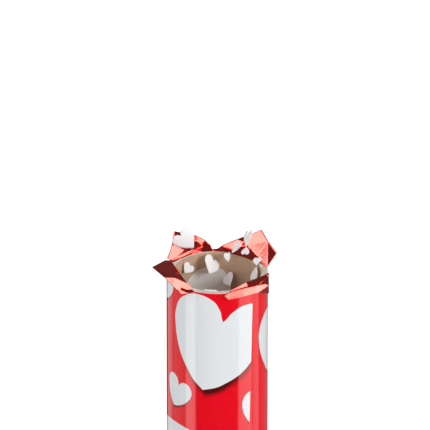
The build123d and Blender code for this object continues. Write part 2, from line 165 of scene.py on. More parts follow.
class ConfettiSettings(bpy.types.PropertyGroup):
    """Paper hearts in the mouth, on the film and on the wad."""

    white: colour_setting("White", "Paper of the hearts", (0.94, 0.94, 0.95))
    thickness: length_setting("Thickness", "Thickness of the hearts", 0.12 * MM)
    loose: bpy.props.IntProperty(name="Loose hearts", description="Hearts left on the wad", default=18)
    seed: bpy.props.IntProperty(name="Seed", description="Scatter of the loose hearts", default=7)


class StageSettings(bpy.types.PropertyGroup):
    """Floor, lamps and camera."""

    elevation: bpy.props.FloatProperty(
        name="Elevation", description="Camera above the horizon", default=math.radians(26.0), subtype="ANGLE"
    )
    distance: length_setting("Distance", "Camera to the mouth", 5.0)
    key: bpy.props.FloatProperty(name="Key", description="Key lamp on the right", default=12.6, unit="POWER")
    fill: bpy.props.FloatProperty(name="Fill", description="Fill lamp on the left", default=7.6, unit="POWER")
    sky: bpy.props.FloatProperty(name="Sky", description="Soft light from all round", default=0.54)


class Graph:
    """Short way to add nodes to a tree. An input's value is a number, a colour, or a socket to link from."""

    def __init__(self, tree):
        self.tree = tree

    def feed(self, node, inputs):
        for name, value in inputs.items():
            if isinstance(value, bpy.types.NodeSocket):
                self.tree.links.new(value, node.inputs[name])
            else:
                node.inputs[name].default_value = value

    def add(self, kind, inputs=None, **settings):
        node = self.tree.nodes.new(kind)
        for name, value in settings.items():
            setattr(node, name, value)
        self.feed(node, inputs or {})
        return node

    def math(self, operation, *values, clamp=False):
        inputs = dict(enumerate(values))
        return self.add("ShaderNodeMath", inputs, operation=operation, use_clamp=clamp).outputs[0]

    def plus(self, first, second):
        return self.math("ADD", first, second)

    def minus(self, first, second):
        return self.math("SUBTRACT", first, second)

    def times(self, first, second):
        return self.math("MULTIPLY", first, second)

    def from_middle(self, value, pitch):
        """How far a value lies from the middle of its repeat, as a share of the pitch."""
        return self.math("ABSOLUTE", self.minus(self.math("FRACT", self.math("DIVIDE", value, pitch)), 0.5))

    def vector(self, operation, *values):
        node = self.add("ShaderNodeVectorMath", dict(enumerate(values)), operation=operation)
        return node.outputs["Value" if operation in ("LENGTH", "DOT_PRODUCT") else "Vector"]

    def split(self, vector):
        return self.add("ShaderNodeSeparateXYZ", {"Vector": vector}).outputs

    def join(self, x=0.0, y=0.0, z=0.0):
        return self.add("ShaderNodeCombineXYZ", {"X": x, "Y": y, "Z": z}).outputs[0]

    def ramp(self, value, low, high, low_result=0.0, high_result=1.0):
        """Smooth step of a value between two limits."""
        limits = {"Value": value, "From Min": low, "From Max": high}
        limits |= {"To Min": low_result, "To Max": high_result}
        return self.add("ShaderNodeMapRange", limits, interpolation_type="SMOOTHSTEP").outputs[0]

    def mix(self, share, first, second):
        return self.add("ShaderNodeMix", {0: share, 6: first, 7: second}, data_type="RGBA").outputs[2]

    def noise(self, place, scale, detail=3.0, roughness=0.55, distortion=0.0):
        inputs = {"Vector": place, "Scale": scale, "Detail": detail}
        inputs |= {"Roughness": roughness, "Distortion": distortion}
        return self.add("ShaderNodeTexNoise", inputs).outputs["Fac"]

    def bump(self, height, strength, distance):
        """Bump of a height between 0 and 1, by its strength and its depth in millimetres."""
        inputs = {"Height": height, "Strength": strength, "Distance": distance * MM}
        return self.add("ShaderNodeBump", inputs).outputs[0]

    def object_place(self, stretch=(1.0, 1.0, 1.0)):
        """Place on the piece in millimetres, stretched along its axes."""
        place = self.add("ShaderNodeTexCoord").outputs["Object"]
        return self.vector("MULTIPLY", place, [1 / MM / share for share in stretch])


def add_sockets(tree, way, **kinds):
    """Sockets of a node group by name, each of a kind such as Float. Gives their identifiers by name."""
    identifiers = {}
    for name, kind in kinds.items():
        socket = tree.interface.new_socket(name, in_out=way, socket_type=f"NodeSocket{kind}")
        identifiers[name] = socket.identifier
    return identifiers


def rgba(colour, share=1.0):
    """Colour for a socket, dimmed to a share of its light."""
    return (*[part * share for part in colour], 1.0)


def new_material(name):
    """Material with its node graph and its principled shader."""
    material = bpy.data.materials.new(name)
    material.use_nodes = True
    return material, Graph(material.node_tree), material.node_tree.nodes["Principled BSDF"]


def heart_distance_group():
    """Node group: how far a place lies outside a heart, in millimetres and as a share of its size."""
    name = "Heart distance"
    if name in bpy.data.node_groups:
        return bpy.data.node_groups[name]
    tree = bpy.data.node_groups.new(name, "ShaderNodeTree")
    add_sockets(tree, "INPUT", Place="Vector", Tip="Vector", Turn="Float", Size="Float", Drop="Vector")
    add_sockets(tree, "OUTPUT", Distance="Float", Share="Float")
    graph = Graph(tree)
    given = graph.add("NodeGroupInput").outputs
    from_tip = graph.vector("SUBTRACT", given["Place"], given["Tip"])
    turned_back = {"Vector": from_tip, "Angle": graph.times(given["Turn"], -1.0)}
    upright = graph.add("ShaderNodeVectorRotate", turned_back, rotation_type="Z_AXIS").outputs[0]
    scaled = graph.vector("DIVIDE", upright, graph.join(given["Size"], given["Size"], 1.0))
    shares = graph.split(graph.vector("SUBTRACT", scaled, given["Drop"]))
    side = graph.minus(graph.math("ABSOLUTE", shares[0]), LOBE_SIDE)
    rise = graph.minus(shares[1], LOBE_RISE)
    share = graph.math("MULTIPLY_ADD", graph.math("ARCTAN2", side, rise), 1 / math.tau, 0.5)
    outline = graph.add("ShaderNodeFloatCurve", {"Value": share})
    curve = outline.mapping.curves[0]
    for degrees, reach in LOBE_REACH.items():
        if degrees in (0, 360):
            curve.points[0 if degrees == 0 else -1].location = (degrees / 360, reach)
        else:
            curve.points.new(degrees / 360, reach)
    outline.mapping.update()
    away = graph.vector("LENGTH", graph.join(side, rise, 0.0))
    outside = graph.minus(away, outline.outputs[0])
    graph.add("NodeGroupOutput", {"Distance": graph.times(outside, given["Size"]), "Share": outside})
    return tree


def nearest_heart(graph, place, hearts, measure, drop=(0.0, 0.0, 0.0)):
    """Distance from a place on the print to the nearest of its hearts, each moved by a share of its size."""
    nearest = None
    for round_way, tip_height, turn, size in hearts:
        inputs = {"Place": place, "Tip": (round_way, tip_height, 0.0), "Turn": math.radians(turn)}
        inputs |= {"Size": size, "Drop": drop}
        stamp = graph.add("ShaderNodeGroup", inputs, node_tree=heart_distance_group())
        away = stamp.outputs[measure]
        nearest = away if nearest is None else graph.math("MINIMUM", nearest, away)
    return nearest


def printed_paper(name, hearts, settings):
    """Glossy print: white hearts with a soft dark shadow on a red ground, over the wound tube's ridges."""
    material, graph, shader = new_material(name)
    shadow_ink = (0.03, 0.004, 0.003)
    fringe_ink = (0.78, 0.42, 0.22)
    across_plies = (0.42, 0.91, 0.0)
    ply_width = 62.0
    place = graph.add("ShaderNodeAttribute", attribute_name="print_place").outputs["Vector"]
    distance = nearest_heart(graph, place, hearts, "Distance")
    beyond = graph.minus(SHADOW_END, nearest_heart(graph, place, hearts, "Share", SHADOW_DROP))
    shade = graph.times(graph.math("DIVIDE", beyond, SHADOW_SOFTNESS, clamp=True), settings.shadow)
    red = graph.mix(graph.noise(place, 0.9, 4.0, 0.6), rgba(settings.red, 0.97), rgba(settings.red))
    ground = graph.mix(shade, red, rgba(shadow_ink))
    fringe = graph.ramp(graph.math("ABSOLUTE", distance), 0.22, 0.05)
    ground = graph.mix(graph.times(fringe, 0.45), ground, rgba(fringe_ink))
    white = graph.mix(graph.noise(place, 0.06, 2.0), rgba(settings.white, 0.97), rgba(settings.white))
    tone = graph.mix(graph.ramp(distance, 0.07, -0.07), ground, white)
    gloss = graph.ramp(graph.noise(place, 0.35, 3.0), 0.3, 0.7, 0.10, 0.17)
    spiral = graph.vector("DOT_PRODUCT", place, across_plies)
    ridge = graph.times(graph.ramp(graph.from_middle(spiral, ply_width), 0.0, 0.012), 0.12)
    tooth = graph.times(graph.noise(place, 2.2, 3.0), 0.05)
    waver = graph.times(graph.noise(place, 0.05, 1.0), 0.9)
    normal = graph.bump(graph.plus(ridge, graph.plus(tooth, waver)), 0.5, 0.08)
    graph.feed(shader, {"Base Color": tone, "Roughness": gloss, "Specular IOR Level": 0.42, "Normal": normal})
    return material


def plain_paper(name, colour, fibre, roughness):
    """Uncoated paper with a faint cloud and fine fibres."""
    material, graph, shader = new_material(name)
    cloud = graph.noise(graph.object_place(), 0.12, 3.0)
    fibres = graph.noise(graph.object_place((0.4, 2.0, 0.7)), 1.6, 5.0, 0.7)
    tone = graph.mix(cloud, rgba(colour, 1 - fibre), rgba(colour))
    tone = graph.mix(graph.ramp(fibres, 0.45, 0.75, 0.0, 0.35), tone, rgba(colour, 1 - 2 * fibre))
    gloss = graph.ramp(fibres, 0.2, 0.8, roughness - 0.08, roughness + 0.08)
    normal = graph.bump(fibres, 0.25, 0.03)
    graph.feed(shader, {"Base Color": tone, "Roughness": gloss, "Specular IOR Level": 0.25, "Normal": normal})
    return material


def card_board(name, colour, plies=True, torn_top=None):
    """Spiral-wound card: long fibres, specks, the butt of each strip, and the plies of a cut end."""
    material, graph, shader = new_material(name)
    strip_width = 58.0
    ply_pitch = 0.52
    torn_fibre = (0.74, 0.66, 0.57)
    torn_ply = (0.90, 0.88, 0.85)
    place = graph.object_place()
    x, y, z = graph.split(place)
    radius = graph.vector("LENGTH", graph.join(x, y, 0.0))
    climb = graph.times(graph.math("ARCTAN2", y, x), strip_width / math.tau)
    butt = graph.ramp(graph.from_middle(graph.minus(z, climb), strip_width), 0.004, 0.009)
    rings = graph.math("SINE", graph.times(radius, math.tau / ply_pitch))
    fibres = graph.noise(graph.object_place((2.2, 2.2, 0.5)), 0.9, 6.0, 0.68)
    cloud = graph.noise(place, 0.09, 3.0)
    specks = graph.ramp(graph.noise(place, 1.7, 2.0, 0.6), 0.60, 0.70)
    tone = graph.mix(graph.ramp(fibres, 0.32, 0.68), rgba(colour, 0.66), rgba(colour))
    tone = graph.mix(graph.times(cloud, 0.35), tone, rgba(colour, 0.86))
    tone = graph.mix(graph.times(specks, 0.45), tone, rgba(colour, 0.55))
    tone = graph.mix(butt, rgba(colour, 0.85), tone)
    height = graph.plus(fibres, graph.times(butt, 0.3))
    if plies:
        tone = graph.mix(graph.ramp(rings, 0.55, 1.0, 0.0, 0.4), tone, rgba(colour, 0.6))
        height = graph.plus(height, graph.times(rings, 0.3))
    if torn_top:
        bare = graph.ramp(z, torn_top - 0.3, torn_top - 0.05, 0.0, 0.9)
        tone = graph.mix(bare, tone, graph.mix(fibres, rgba(torn_fibre), rgba(torn_ply)))
    gloss = graph.ramp(fibres, 0.2, 0.8, 0.78, 0.94)
    normal = graph.bump(height, 0.4, 0.12)
    graph.feed(shader, {"Base Color": tone, "Roughness": gloss, "Specular IOR Level": 0.2, "Normal": normal})
    return material


def red_film(name, settings):
    """Dyed metallised film: mirror-like metal under a clear coat, with fine crinkles and scuffed creases."""
    material, graph, shader = new_material(name)
    scuffed_red = (0.86, 0.10, 0.10)
    edge_tint = (1.0, 0.35, 0.4)
    crinkle = graph.noise(graph.object_place(), 0.55, 2.0, 0.4, 0.6)
    scuff = graph.noise(graph.object_place((0.5, 3.0, 1.0)), 1.4, 5.0, 0.7)
    tone = graph.mix(graph.ramp(scuff, 0.5, 0.8, 0.0, 0.3), rgba(settings.red), rgba(scuffed_red))
    gloss = graph.ramp(scuff, 0.3, 0.8, 0.09, 0.17)
    normal = graph.bump(crinkle, 0.06, 0.12)
    graph.feed(shader, {"Base Color": tone, "Roughness": gloss, "Normal": normal})
    graph.feed(shader, {"Metallic": 1.0, "Specular Tint": rgba(edge_tint)})
    graph.feed(shader, {"Coat Weight": 0.8, "Coat Roughness": 0.08})
    return material


def moulded_plastic(name, colour, roughness):
    """Moulded plastic: a fine grain, a slow cloud in its gloss and slight flow marks."""
    material, graph, shader = new_material(name)
    grain = graph.noise(graph.object_place(), 3.0, 2.0)
    flow = graph.noise(graph.object_place((1.0, 1.0, 6.0)), 0.25, 3.0)
    tone = graph.mix(flow, rgba(colour, 0.9), rgba(colour))
    gloss = graph.ramp(flow, 0.3, 0.7, roughness - 0.06, roughness + 0.06)
    graph.feed(shader, {"Base Color": tone, "Roughness": gloss, "Normal": graph.bump(grain, 0.15, 0.02)})
    return material


def drawn_aluminium(name):
    """Deep-drawn aluminium: fine draw lines up the wall and a slow cloud in its shine."""
    material, graph, shader = new_material(name)
    dull = (0.70, 0.71, 0.72)
    bright = (0.80, 0.81, 0.82)
    lines = graph.noise(graph.object_place((0.25, 0.25, 14.0)), 1.2, 4.0, 0.6)
    tone = graph.mix(graph.noise(graph.object_place(), 0.1, 2.0), rgba(dull), rgba(bright))
    gloss = graph.ramp(lines, 0.3, 0.7, 0.26, 0.40)
    normal = graph.bump(lines, 0.2, 0.02)
    graph.feed(shader, {"Base Color": tone, "Metallic": 1.0, "Roughness": gloss, "Normal": normal})
    return material


def black_rubber(name):
    """Matt rubber with a dusty bloom."""
    material, graph, shader = new_material(name)
    black = (0.015, 0.015, 0.016)
    dusty = (0.05, 0.05, 0.052)
    bloom = graph.noise(graph.object_place(), 0.6, 4.0, 0.65)
    tone = graph.mix(bloom, rgba(black), rgba(dusty))
    gloss = graph.ramp(bloom, 0.3, 0.7, 0.6, 0.8)
    graph.feed(shader, {"Base Color": tone, "Roughness": gloss, "Normal": graph.bump(bloom, 0.2, 0.03)})
    return material


def dress_nodes(material, *nodes):
    """Gives a material to CAD nodes that are shown as they are."""
    for node in nodes:
        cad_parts[node].data.materials.clear()
        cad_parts[node].data.materials.append(material)


def place_object(name, data):
    """Object of the given data, at the origin of the scene."""
    thing = bpy.data.objects.new(name, data)
    bpy.context.scene.collection.objects.link(thing)
    return thing


def new_piece(name, corners, faces, materials, smooth=True, edges=()):
    """Object at the origin from corners in millimetres, faces and loose edges, with its materials."""
    mesh = bpy.data.meshes.new(name)
    mesh.from_pydata([tuple(float(x) * MM for x in corner) for corner in corners], edges, faces)
    mesh.validate()
    shade = mesh.shade_smooth if smooth else mesh.shade_flat
    shade()
    for material in materials:
        mesh.materials.append(material)
    return place_object(name, mesh)


def piece_of(name, build, material):
    """Smooth object of a finished bmesh, which is freed."""
    mesh = bpy.data.meshes.new(name)
    build.to_mesh(mesh)
    build.free()
    mesh.shade_smooth()
    mesh.materials.append(material)
    return place_object(name, mesh)


def settle(piece, body, slot, *nodes):
    """The finished piece rides on a body and hides the CAD nodes it stands for. The slot is not used."""
    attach(piece, body)
    if nodes:
        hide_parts(*nodes)


def bake_modifiers(piece):
    """Turns a piece's modifiers into plain mesh."""
    evaluated = piece.evaluated_get(bpy.context.evaluated_depsgraph_get())
    mesh = bpy.data.meshes.new_from_object(evaluated)
    piece.modifiers.clear()
    piece.data = mesh


def thicken(piece, thickness, offset):
    """Gives a sheet its thickness, which lies on both sides of it where the offset is 0."""
    solid = piece.modifiers.new("Thickness", "SOLIDIFY")
    solid.thickness = thickness
    solid.offset = offset
    bake_modifiers(piece)


def smooth_step(values):
    values = np.clip(values, 0.0, 1.0)
    return values * values * (3 - 2 * values)


def on_circle(radius, degrees, height):
    """Corner at a distance from the axis, in a direction and at a height."""
    turn = math.radians(degrees)
    return radius * math.cos(turn), radius * math.sin(turn), height


def grid_faces(rows, columns):
    """Faces of a grid of corners, listed row by row."""
    starts = [row * columns + column for row in range(rows - 1) for column in range(columns - 1)]
    return [(first, first + 1, first + columns + 1, first + columns) for first in starts]


def sheet_faces(rows, columns):
    """Faces of a closed thin sheet: outside grid, inside grid, and the four edges between them."""
    inside = rows * columns
    grid = grid_faces(rows, columns)
    outer = [face[::-1] for face in grid]
    other = [tuple(corner + inside for corner in face) for face in grid]
    for column in range(columns - 1):
        low, top = column, (rows - 1) * columns + column
        other.append((low, low + inside, low + 1 + inside, low + 1)[::-1])
        other.append((top, top + 1, top + 1 + inside, top + inside)[::-1])
    for row in range(rows - 1):
        start, end = row * columns, row * columns + columns - 1
        other.append((start, start + columns, start + columns + inside, start + inside)[::-1])
        other.append((end, end + inside, end + columns + inside, end + columns)[::-1])
    return outer, other


def sheet_corners(outer_radius, inner_radius, angle, heights):
    """Corners of the outside grid and then of the inside grid of a rolled sheet."""
    shells = [
        np.dstack([radius * np.cos(angle), radius * np.sin(angle), heights + 0.0 * angle]).reshape(-1, 3)
        for radius in (outer_radius, inner_radius)
    ]
    return np.vstack(shells)


def rolled_paper(name, bottom, top, seam_angle, seam_lean, settings, materials):
    """Paper rolled round the tube from its seam, with a glued lap whose upper end stands proud."""
    rows, columns = 50, 241
    lap_rise = 1.2
    settling = 9.0
    thickness, lap = settings.thickness / MM, settings.lap / MM
    heights = np.linspace(bottom, top, rows)[:, None]
    run = np.linspace(0.0, 1.0, columns)[None, :] * (math.tau + lap / OUTER_RADIUS)
    angle = np.radians(seam_angle + seam_lean * (heights - RIM_HEIGHT)) - run
    proud = lap_rise * thickness * (1 - smooth_step((run * OUTER_RADIUS - lap) / settling))
    radius = OUTER_RADIUS + proud + 0.0 * heights
    place = np.dstack([(angle - math.radians(PRINT_SEAM)) * OUTER_RADIUS, heights + 0.0 * run, 0.0 * angle])
    outer, other = sheet_faces(rows, columns)
    corners = sheet_corners(radius, radius - thickness, angle, heights)
    piece = new_piece(name, corners, outer + other, materials)
    marks = np.zeros(len(outer) + len(other), np.int32)
    marks[len(outer) :] = 1
    piece.data.polygons.foreach_set("material_index", marks)
    attribute = piece.data.attributes.new("print_place", "FLOAT_VECTOR", "POINT")
    attribute.data.foreach_set("vector", np.vstack([place.reshape(-1, 3)] * 2).astype(np.float32).ravel())
    piece.data.set_sharp_from_angle(angle=math.radians(SHARP_PAPER))
    return piece


class POPPER_OT_printed_papers(bpy.types.Operator):
    """Rolls the printed papers round the barrel and the handle"""

    bl_idname = "popper.printed_papers"
    bl_label = "Printed papers"

    def execute(self, context):
        settings = context.scene.popper_print
        core = plain_paper("paper_core", (0.80, 0.79, 0.77), 0.05, 0.8)
        for name, body, hearts, seam, lean in (
            ("barrel_wrap", "barrel", BARREL_PRINT, 314.2, 0.068),
            ("handle_wrap", "handle", HANDLE_PRINT, 302.0, 0.0),
        ):
            bottom, top = height_span(name)
            ink = printed_paper(f"{name}_print", hearts, settings)
            paper = rolled_paper(f"{name}_paper", bottom, top, seam, lean, settings, [ink, core])
            settle(paper, body, "printed_paper", name)
        return {"FINISHED"}


class POPPER_OT_card_tubes(bpy.types.Operator):
    """Gives the wound card its fibres, strips and plies"""

    bl_idname = "popper.card_tubes"
    bl_label = "Card tubes"

    def execute(self, context):
        kraft = (0.80, 0.55, 0.385)
        packing = card_board("kraft_packing", (0.46, 0.33, 0.23))
        dress_nodes(card_board("kraft_barrel", kraft, torn_top=RIM_HEIGHT), "barrel_tube")
        dress_nodes(card_board("kraft_handle", kraft), "handle_tube")
        dress_nodes(packing, "lower_packing_ring", "upper_packing_ring", "joint_sleeve")
        dress_nodes(card_board("grey_wad", (0.40, 0.39, 0.37), plies=False), "wad_disc")
        return {"FINISHED"}


# Corners of the torn film: x, y and rise above the rim. Its four petals are named by the way they fall,
# west to the left and south to the front, and the rim's corners at the back are shared between them
FILM = {
    "rim": {
        "joint": (-22.9, 10.2, 1.0),
        "back_1": (-21.4, 10.1, 0.1),
        "back_2": (-17.8, 14.2, 0.1),
        "back_3": (-12.7, 18.8, 0.1),
        "back_4": (-7.6, 21.5, 0.1),
        "notch": (-1.8, 22.3, 0.1),
        "back_5": (3.4, 21.4, 0.3),
        "back_6": (7.6, 19.0, 0.3),
        "back_7": (11.9, 16.0, 0.3),
        "back_8": (17.8, 11.3, 0.1),
        "back_9": (21.6, 8.4, 0.6),
    },
    "west": {
        "shoulder": (-25.7, 11.5, 0.4),
        "tip": (-32.2, 5.2, -0.3),
        "edge": (-25.9, -8.4, 0.6),
        "side": (-21.6, -14.0, -1.4),
        "hem": (-17.6, -20.9, -2.2),
        "heel": (-14.4, -23.1, -0.5),
        "root": (-11.4, -23.0, 0.1),
        "fold": (-14.6, -19.9, 3.0),
        "dent": (-20.8, -11.8, 2.1),
        "pinch": (-18.3, -19.1, -1.0),
        "lip": (-12.3, -20.4, 0.3),
        "nip": (-15.5, -21.7, -0.7),
        "brow": (-17.9, -17.8, 0.3),
        "brow_2": (-14.1, -21.4, 0.5),
    },
    "north": {
        "heel": (-24.8, 11.0, 1.7),
        "side_1": (-23.6, 14.4, 3.2),
        "side_2": (-22.3, 19.2, 5.5),
        "side_3": (-22.0, 17.1, 10.3),
        "tip": (-21.2, 19.6, 12.4),
        "top_1": (-17.0, 27.0, 7.9),
        "top_2": (-10.6, 23.4, 8.3),
        "top_3": (-5.9, 24.3, 5.3),
        "top_4": (-3.4, 23.9, 2.8),
        "middle": (-15.3, 25.6, 4.5),
        "bend_1": (-19.1, 13.7, 1.6),
        "bend_2": (-16.1, 17.8, 2.9),
        "bend_3": (-11.9, 20.4, 1.9),
        "bend_4": (-9.3, 22.2, 5.7),
        "bend_5": (-7.6, 22.5, 3.1),
        "ridge_1": (-22.2, 10.5, 0.8),
        "ridge_2": (-16.6, 15.2, 0.9),
        "ridge_3": (-11.1, 20.5, 1.1),
        "ridge_4": (-6.7, 23.0, 2.3),
        "crest_2": (-16.9, 15.5, 1.5),
        "crest_3": (-11.5, 20.4, 1.8),
        "crest_4": (-7.1, 23.5, 2.7),
    },
    "east": {
        "edge_1": (3.4, 24.7, 2.7),
        "edge_2": (10.6, 23.2, 6.6),
        "edge_3": (13.5, 23.6, 7.6),
        "edge_4": (17.4, 21.5, 10.2),
        "edge_5": (21.8, 19.5, 13.4),
        "edge_6": (25.1, 15.1, 9.4),
        "edge_7": (29.5, 9.4, 5.3),
        "edge_8": (24.8, 3.2, 0.7),
        "bend_1": (2.7, 24.2, 1.3),
        "bend_2": (7.2, 22.2, 1.5),
        "bend_3": (7.2, 21.3, 0.1),
        "bend_4": (2.9, 23.0, 0.6),
        "bend_5": (13.4, 21.2, 6.2),
        "bend_6": (11.9, 20.8, 3.3),
        "bend_7": (15.3, 20.0, 4.7),
        "bend_8": (16.1, 18.4, 3.3),
        "bend_9": (19.9, 13.2, 1.8),
    },
    "south": {
        "fold_1": (6.4, -23.0, 0.5),
        "fold_2": (14.4, -16.1, 1.9),
        "fold_3": (25.8, -3.5, 0.9),
        "lip_1": (8.7, -21.8, 0.6),
        "lip_2": (14.8, -16.7, 0.8),
        "lip_3": (25.4, -5.0, 0.1),
        "bend_1": (6.6, -24.9, 1.0),
        "bend_2": (13.6, -21.1, 1.0),
        "bend_3": (18.7, -17.4, 0.3),
        "bend_4": (24.0, -10.7, -1.9),
        "hem_1": (3.0, -27.1, 0.0),
        "hem_2": (5.3, -26.3, -2.7),
        "hem_3": (13.6, -21.9, -3.0),
        "hem_4": (19.7, -17.2, -3.6),
        "hem_5": (25.4, -9.1, -3.2),
        "hem_6": (25.5, -6.6, -8.9),
    },
}

# Flat facets between the folds and creases of each petal
FACETS = {
    "west": """
        joint shoulder dent, shoulder tip dent, tip edge dent, joint dent fold, edge side dent,
        dent side brow, side pinch brow, dent brow fold, fold brow brow_2, fold brow_2 lip,
        brow pinch nip, brow nip brow_2, lip brow_2 root, brow_2 nip root, side hem pinch,
        pinch hem nip, hem heel nip, nip heel root
    """,
    "north": """
        heel bend_1 side_1, side_1 bend_1 bend_2, side_1 bend_2 side_2, side_2 bend_2 middle,
        side_2 middle side_3, side_3 middle tip, tip middle top_1, top_1 middle top_2,
        middle bend_2 bend_3, middle bend_3 bend_4, middle bend_4 top_2, bend_3 bend_5 bend_4,
        top_2 bend_4 top_3, bend_4 bend_5 top_3, top_3 bend_5 crest_4, top_3 crest_4 top_4,
        top_4 crest_4 ridge_4, top_4 ridge_4 notch, heel ridge_1 bend_1, bend_1 ridge_1 crest_2,
        bend_1 crest_2 bend_2, bend_2 crest_2 crest_3, bend_2 crest_3 bend_3, bend_3 crest_3 bend_5,
        bend_5 crest_3 crest_4, ridge_1 ridge_2 crest_2, crest_2 ridge_2 ridge_3,
        crest_2 ridge_3 crest_3, crest_3 ridge_3 ridge_4, crest_3 ridge_4 crest_4,
        ridge_1 back_1 back_2, ridge_1 back_2 ridge_2, ridge_2 back_2 back_3, ridge_2 back_3 ridge_3,
        ridge_3 back_3 back_4, ridge_3 back_4 ridge_4, ridge_4 back_4 notch, heel joint ridge_1,
        ridge_1 joint back_1
    """,
    "east": """
        edge_1 bend_2 edge_2, edge_2 bend_2 bend_5, edge_1 bend_1 bend_2, edge_2 bend_5 edge_3,
        bend_1 bend_4 bend_3, bend_1 bend_3 bend_2, bend_4 back_6 bend_3, bend_4 back_5 back_6,
        notch back_5 bend_4, notch bend_4 bend_1, notch bend_1 edge_1, bend_2 bend_3 bend_6,
        bend_2 bend_6 bend_5, bend_3 back_7 bend_6, bend_3 back_6 back_7, bend_6 back_7 bend_8,
        bend_5 bend_6 bend_7, bend_6 bend_8 bend_7, bend_5 bend_7 edge_3, edge_3 bend_7 edge_4,
        bend_7 edge_5 edge_4, bend_7 edge_6 edge_5, bend_7 bend_8 bend_9, bend_7 bend_9 edge_6,
        bend_9 edge_8 edge_6, edge_6 edge_8 edge_7, bend_8 back_7 back_8, bend_8 back_8 bend_9,
        bend_9 back_8 back_9, bend_9 back_9 edge_8
    """,
    "south": """
        fold_1 lip_1 fold_2, lip_1 lip_2 fold_2, fold_2 lip_2 fold_3, lip_2 lip_3 fold_3,
        fold_1 bend_1 lip_1, lip_1 bend_1 bend_2, lip_1 bend_2 lip_2, lip_2 bend_2 bend_3,
        lip_2 bend_3 lip_3, lip_3 bend_3 bend_4, bend_1 hem_1 hem_2, bend_1 hem_2 bend_2,
        bend_2 hem_2 hem_3, bend_2 hem_3 bend_3, bend_3 hem_3 hem_4, bend_3 hem_4 bend_4,
        bend_4 hem_4 hem_5, hem_4 hem_6 hem_5, bend_4 hem_5 lip_3
    """,
}

# Fold on which each petal stays glued to the rim: its corners, and the angles of the glued strip's ends
GLUED_FOLDS = {
    "west": ("joint fold lip root", 156.0, 243.0),
    "north": ("notch back_4 back_3 back_2 back_1 joint", 95.0, 155.0),
    "east": ("back_9 back_8 back_7 back_6 back_5 notch", 14.0, 94.0),
    "south": ("fold_1 fold_2 fold_3", 284.0, 355.0),
}
GLUE_STEPS = 16

# Longest edge of the finished film, how far its folds are softened, and the angle that stays sharp.
# Then the size of its crumples, and the rise at which they have their full height
FINE_EDGE = 0.8
FOLD_SOFTNESS = 0.12
SHARP_FILM = 30.0
CRUMPLE_SIZE = 4.0
CRUMPLE_RISE = 1.5


def crumple_height(point):
    """Height of crumpled film at a point: creases between flat cells of two sizes."""
    coarse = noise.voronoi(point / CRUMPLE_SIZE)[0]
    fine = noise.voronoi(point / (CRUMPLE_SIZE * 0.45) + Vector((3.1, 7.7, 1.3)))[0]
    return (coarse[1] - coarse[0]) - 0.5 + 0.35 * ((fine[1] - fine[0]) - 0.5)


class POPPER_OT_torn_film(bpy.types.Operator):
    """Folds and crumples the torn red film at the mouth"""

    bl_idname = "popper.torn_film"
    bl_label = "Torn film"

    def execute(self, context):
        settings = context.scene.popper_film
        mesh = bmesh.new()
        corners = {petal: self.corners(mesh, places) for petal, places in FILM.items()}
        for petal, facets in FACETS.items():
            named = corners["rim"] | corners[petal]
            for facet in facets.split(","):
                mesh.faces.new([named[name] for name in facet.split()])
            fold, low, high = GLUED_FOLDS[petal]
            self.glue(mesh, [named[name] for name in fold.split()], low, high)
        self.refine(mesh)
        self.crumple(mesh, settings.crumple / MM)
        bmesh.ops.scale(mesh, vec=(MM, MM, MM), verts=mesh.verts)
        film = piece_of("muzzle_film", mesh, red_film("red_film", settings))
        film.data.set_sharp_from_angle(angle=math.radians(SHARP_FILM))
        thicken(film, settings.thickness, 0.0)
        settle(film, "barrel", "red_film", "muzzle_foil")
        return {"FINISHED"}

    def corners(self, mesh, places):
        return {name: mesh.verts.new((x, y, RIM_HEIGHT + rise)) for name, (x, y, rise) in places.items()}

    def glue(self, mesh, fold, low, high):
        """Strip between a fold and the outer edge of the rim."""
        reach = OUTER_RADIUS - 0.05
        angles = np.linspace(low, high, GLUE_STEPS)
        arc = [mesh.verts.new(on_circle(reach, angle, RIM_HEIGHT + 0.1)) for angle in angles]
        step_fold, step_arc = 0, 0
        while step_fold < len(fold) - 1 or step_arc < len(arc) - 1:
            ahead_fold = (step_fold + 1) / len(fold) <= (step_arc + 1) / len(arc)
            if step_arc == len(arc) - 1 or (ahead_fold and step_fold < len(fold) - 1):
                mesh.faces.new((fold[step_fold], arc[step_arc], fold[step_fold + 1]))
                step_fold += 1
            else:
                mesh.faces.new((fold[step_fold], arc[step_arc], arc[step_arc + 1]))
                step_arc += 1

    def refine(self, mesh):
        """Splits long edges until the film is fine enough to crumple."""
        for _ in range(7):
            edges = [edge for edge in mesh.edges if edge.calc_length() > FINE_EDGE]
            if not edges:
                break
            bmesh.ops.subdivide_edges(mesh, edges=edges, cuts=1)
            bmesh.ops.triangulate(mesh, faces=mesh.faces)

    def crumple(self, mesh, height):
        """Softens the folds and lifts small crumples along the film's normals."""
        inner = [vert for vert in mesh.verts if not vert.is_boundary]
        every_way = dict.fromkeys(("use_axis_x", "use_axis_y", "use_axis_z"), True)
        bmesh.ops.smooth_vert(mesh, verts=inner, factor=FOLD_SOFTNESS, **every_way)
        mesh.normal_update()
        moves = []
        for vert in mesh.verts:
            share = min(1.0, abs(vert.co.z - RIM_HEIGHT) / CRUMPLE_RISE)
            moves.append(vert.normal * (height * share * crumple_height(vert.co)))
        for vert, move in zip(mesh.verts, moves):
            vert.co += move


